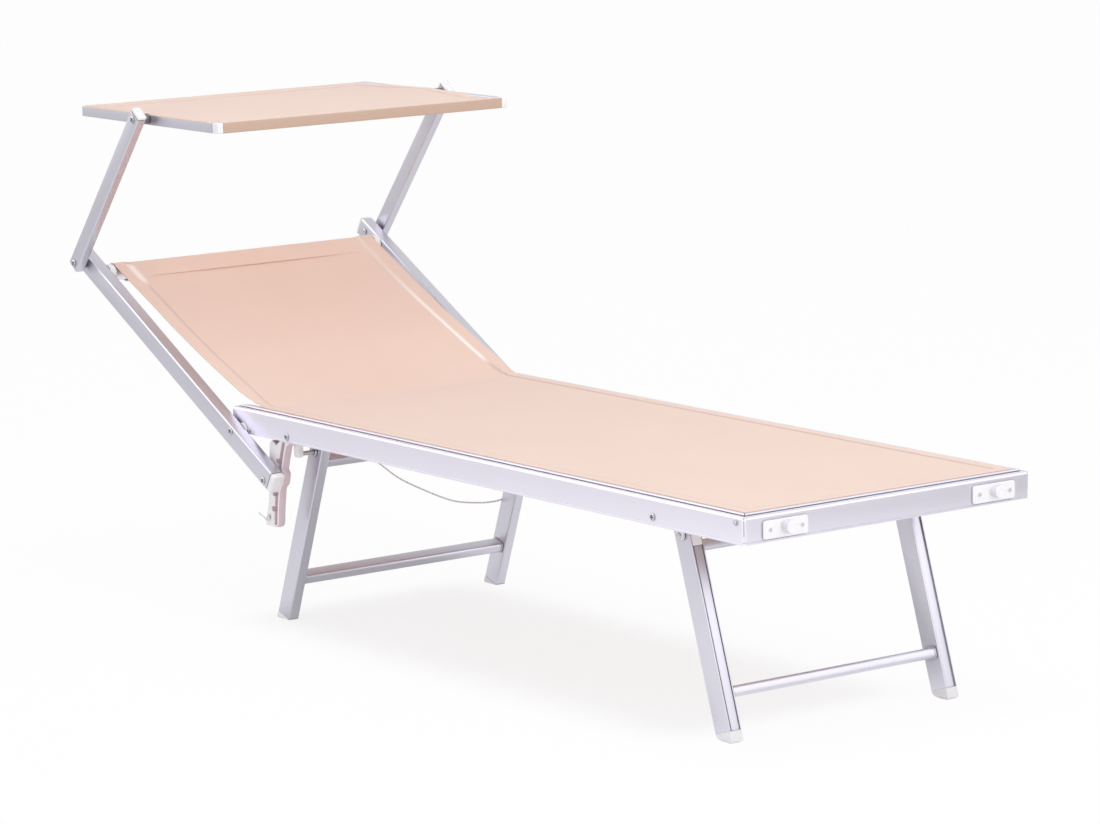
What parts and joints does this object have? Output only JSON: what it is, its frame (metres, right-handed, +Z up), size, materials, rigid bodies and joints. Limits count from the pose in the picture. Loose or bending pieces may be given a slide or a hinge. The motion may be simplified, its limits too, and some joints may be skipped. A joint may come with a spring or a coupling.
{
  "type": "sun lounger",
  "caption": "Sun lounger with a flat fabric bed, folding leg frames, a reclining fabric backrest held by slotted hangers, and a tilting canopy on two swinging arms.",
  "frame": {"origin": "on the floor, in the middle of the bounding box as the lounger stands in the picture", "axes": "+X toward the foot end, +Y toward the left of the person lying on it, +Z up"},
  "size_m": [1.9208, 0.7052, 0.909],
  "materials": {
    "aluminium": "satin silver anodised, faint lavender tint",
    "white_plastic": "smooth white moulding",
    "sling_fabric": "fine open weave, peach beige",
    "steel": "zinc plated",
    "cord": "white cord"
  },
  "bodies": {
    "main_frame": {"corner_bracket_left": "aluminium", "corner_bracket_right": "aluminium", "foot_rail": "aluminium", "front_leg_bracket_left": "white_plastic", "front_leg_bracket_right": "white_plastic", "front_rail_screw_left": "steel", "front_rail_screw_right": "steel", "head_bar": "aluminium", "peg_plate_left": "white_plastic", "peg_plate_right": "white_plastic", "rear_leg_bracket_left": "white_plastic", "rear_leg_bracket_right": "white_plastic", "rear_rail_screw_left": "steel", "rear_rail_screw_right": "steel", "release_cord": "cord", "seat_sling": "sling_fabric", "side_rail_left": "aluminium", "side_rail_right": "aluminium"},
    "rear_legs": {"rear_foot_cap_left": "white_plastic", "rear_foot_cap_right": "white_plastic", "rear_leg_left": "aluminium", "rear_leg_right": "aluminium", "rear_stretcher": "aluminium", "rear_upper_bar": "aluminium"},
    "front_legs": {"front_foot_cap_left": "white_plastic", "front_foot_cap_right": "white_plastic", "front_leg_left": "aluminium", "front_leg_right": "aluminium", "front_stretcher": "aluminium", "front_upper_bar": "aluminium"},
    "rack_left": {"rack_left": "white_plastic"},
    "rack_right": {"rack_right": "white_plastic"},
    "backrest": {"back_arm_left": "aluminium", "back_arm_lower_cap_left": "white_plastic", "back_arm_lower_cap_right": "white_plastic", "back_arm_right": "aluminium", "back_arm_upper_cap_left": "white_plastic", "back_arm_upper_cap_right": "white_plastic", "back_sling": "sling_fabric", "hinge_bolt_left": "steel", "hinge_bolt_right": "steel", "latch_pin_left": "steel", "latch_pin_right": "steel", "top_bar": "aluminium"},
    "canopy_arms": {"canopy_arm_cap_left": "white_plastic", "canopy_arm_cap_right": "white_plastic", "canopy_arm_left": "aluminium", "canopy_arm_right": "aluminium", "canopy_swing_bolt_left": "steel", "canopy_swing_bolt_right": "steel", "canopy_tilt_bolt_left": "steel", "canopy_tilt_bolt_right": "steel"},
    "canopy": {"canopy_back_bar": "aluminium", "canopy_corner_left": "white_plastic", "canopy_corner_right": "white_plastic", "canopy_fabric": "sling_fabric", "canopy_front_bar": "aluminium", "canopy_side_bar_left": "aluminium", "canopy_side_bar_right": "aluminium"}
  },
  "joints": [
    {"name": "rear_legs_fold", "type": "hinge", "parent": "main_frame", "child": "rear_legs", "pos_m": [-0.31513, 0, 0.3195], "axis": [0, 1, 0], "range_deg": [-110, 0]},
    {"name": "front_legs_fold", "type": "hinge", "parent": "main_frame", "child": "front_legs", "pos_m": [0.71557, 0, 0.3195], "axis": [0, 1, 0], "range_deg": [0, 107]},
    {"name": "backrest_recline", "type": "hinge", "parent": "main_frame", "child": "backrest", "pos_m": [-0.45133, 0, 0.3496], "axis": [0, 1, 0], "range_deg": [-29, 41]},
    {"name": "rack_left_swing", "type": "hinge", "parent": "main_frame", "child": "rack_left", "pos_m": [-0.31513, 0, 0.353], "axis": [0, 1, 0], "range_deg": [-18, 25]},
    {"name": "rack_right_swing", "type": "hinge", "parent": "main_frame", "child": "rack_right", "pos_m": [-0.31513, 0, 0.353], "axis": [0, 1, 0], "range_deg": [-18, 25]},
    {"name": "canopy_arms_swing", "type": "hinge", "parent": "backrest", "child": "canopy_arms", "pos_m": [-0.92961, 0, 0.60534], "axis": [0, 1, 0], "range_deg": [-75, 40]},
    {"name": "canopy_tilt", "type": "hinge", "parent": "canopy_arms", "child": "canopy", "pos_m": [-0.71, 0, 0.88642], "axis": [0, 1, 0], "range_deg": [-45, 35]}
  ],
  "couplings": [
    {"joint": "rack_left_swing", "follows": "backrest_recline", "ratio": 0.6},
    {"joint": "rack_right_swing", "follows": "backrest_recline", "ratio": 0.6}
  ]
}
